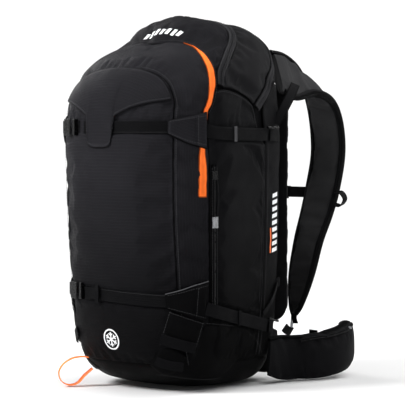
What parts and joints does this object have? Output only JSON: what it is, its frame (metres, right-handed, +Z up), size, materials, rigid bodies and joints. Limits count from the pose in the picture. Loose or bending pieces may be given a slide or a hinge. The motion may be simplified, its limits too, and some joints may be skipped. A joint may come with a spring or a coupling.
{
  "type": "avalanche airbag backpack",
  "caption": "Ski touring backpack with an airbag under its top cover, padded harness, hip belt, compression straps, side zip and ice-axe loop.",
  "frame": {"origin": "on the ground under the middle of the pack, on its flat base", "axes": "+Z up along the pack's height; the wearer's back is at +Y; +X is the wearer's right"},
  "size_m": [0.3578, 0.521, 0.605],
  "materials": {
    "front_fabric": "coated ripstop nylon, matt charcoal",
    "side_fabric": "plain woven nylon, dark charcoal",
    "zip_tape": "coated zip tape with coil",
    "webbing": "woven polyamide webbing, black",
    "orange_trim": "orange woven tape",
    "harness_mesh": "foam covered with stretch fabric",
    "buckle_plastic": "moulded acetal, satin",
    "silver_metal": "satin aluminium",
    "frame_alloy": "drawn rod",
    "frame_plastic": "polyethylene sheet",
    "unit_body": "glass-filled nylon housing",
    "cartridge": "clear-coated steel",
    "airbag_cloth": "coated nylon, orange"
  },
  "bodies": {
    "root": {"front_panel": "front_fabric", "crown_panel": "front_fabric", "lid_panel": "front_fabric", "airbag_cover": "front_fabric", "rear_yoke_panel": "front_fabric", "upper_right_wing_strap": "front_fabric", "upper_left_wing_strap": "front_fabric", "lower_right_wing_strap": "front_fabric", "lower_left_wing_strap": "front_fabric", "right_side_panel": "side_fabric", "left_side_panel": "side_fabric", "back_shell": "side_fabric", "base_panel": "side_fabric", "lid_zip_tape": "zip_tape", "airbag_zip_tape": "zip_tape", "side_zip_tape": "zip_tape", "upper_front_webbing": "webbing", "lower_front_webbing": "webbing", "right_strap_anchor": "webbing", "left_strap_anchor": "webbing", "right_load_lifter": "webbing", "left_load_lifter": "webbing", "trigger_cable": "webbing", "orange_trim": "orange_trim", "back_pad": "harness_mesh", "lumbar_pad": "harness_mesh", "right_shoulder_pad": "harness_mesh", "left_shoulder_pad": "harness_mesh", "upper_buckle_socket": "buckle_plastic", "lower_buckle_socket": "buckle_plastic", "upper_right_adjuster": "buckle_plastic", "upper_left_adjuster": "buckle_plastic", "lower_right_adjuster": "buckle_plastic", "lower_left_adjuster": "buckle_plastic", "right_strap_hook": "silver_metal", "left_strap_hook": "silver_metal", "frame_hoop": "frame_alloy", "frame_sheet": "frame_plastic", "inflation_unit": "unit_body", "folded_airbag": "airbag_cloth"},
    "flap": {"pocket_flap": "front_fabric"},
    "zip_slider": {"side_zip_slider": "silver_metal", "side_zip_cord": "webbing", "side_zip_tag": "silver_metal"},
    "ice_loop": {"ice_axe_loop": "orange_trim"},
    "upper_plug": {"upper_buckle_plug": "buckle_plastic"},
    "lower_plug": {"lower_buckle_plug": "buckle_plastic"},
    "right_fin": {"right_hip_fin": "front_fabric", "right_hip_webbing": "webbing", "hip_buckle_socket": "buckle_plastic"},
    "left_fin": {"left_hip_fin": "front_fabric", "left_hip_webbing": "webbing", "hip_buckle_plug": "buckle_plastic"},
    "sternum": {"sternum_webbing_right": "webbing", "sternum_webbing_left": "webbing", "sternum_buckle_socket": "buckle_plastic"},
    "sternum_plug": {"sternum_buckle_plug": "buckle_plastic"},
    "trigger": {"trigger_handle": "orange_trim"},
    "lever": {"valve_lever": "silver_metal"},
    "cartridge": {"gas_cartridge": "cartridge"}
  },
  "joints": [
    {"name": "flap_lift", "type": "hinge", "parent": "root", "child": "flap", "pos_m": [0, -0.112, 0.5175], "axis": [-1, 0, 0], "range_deg": [0, 100]},
    {"name": "side_zip", "type": "slide", "parent": "root", "child": "zip_slider", "axis": [-0.0173, 0.0301, -0.9994], "range_m": [0, 0.08]},
    {"name": "ice_loop_flip", "type": "hinge", "parent": "root", "child": "ice_loop", "pos_m": [-0.0775, -0.1095, 0.038], "axis": [-0.7828, 0.6222, 0], "range_deg": [0, 14]},
    {"name": "upper_buckle_release", "type": "slide", "parent": "root", "child": "upper_plug", "axis": [0.9033, -0.429, 0], "range_m": [0, 0.035]},
    {"name": "lower_buckle_release", "type": "slide", "parent": "root", "child": "lower_plug", "axis": [0.9046, -0.4262, 0], "range_m": [0, 0.035]},
    {"name": "right_hip_fold", "type": "hinge", "parent": "root", "child": "right_fin", "pos_m": [0.124, 0.154, 0.04], "axis": [0, 0, 1], "range_deg": [-30, 5]},
    {"name": "left_hip_fold", "type": "hinge", "parent": "root", "child": "left_fin", "pos_m": [-0.124, 0.154, 0.04], "axis": [0, 0, -1], "range_deg": [-30, 5]},
    {"name": "sternum_height", "type": "slide", "parent": "root", "child": "sternum", "axis": [0, 0.3201, 0.9474], "range_m": [-0.03, 0.03]},
    {"name": "sternum_buckle_release", "type": "slide", "parent": "sternum", "child": "sternum_plug", "axis": [-1, 0, 0], "range_m": [0, 0.012]},
    {"name": "trigger_pull", "type": "slide", "parent": "root", "child": "trigger", "axis": [0, -0.1, -0.995], "range_m": [0, 0.05]},
    {"name": "valve_open", "type": "hinge", "parent": "root", "child": "lever", "pos_m": [-0.05, 0.08, 0.441], "axis": [0, 1, 0], "range_deg": [0, 40]},
    {"name": "cartridge_unscrew", "type": "hinge", "parent": "root", "child": "cartridge", "pos_m": [-0.04, 0.08, 0.3897], "axis": [0, 0, 1], "continuous": true}
  ],
  "couplings": [
    {"joint": "valve_open", "follows": "trigger_pull", "rad_per_m": 13.5}
  ]
}
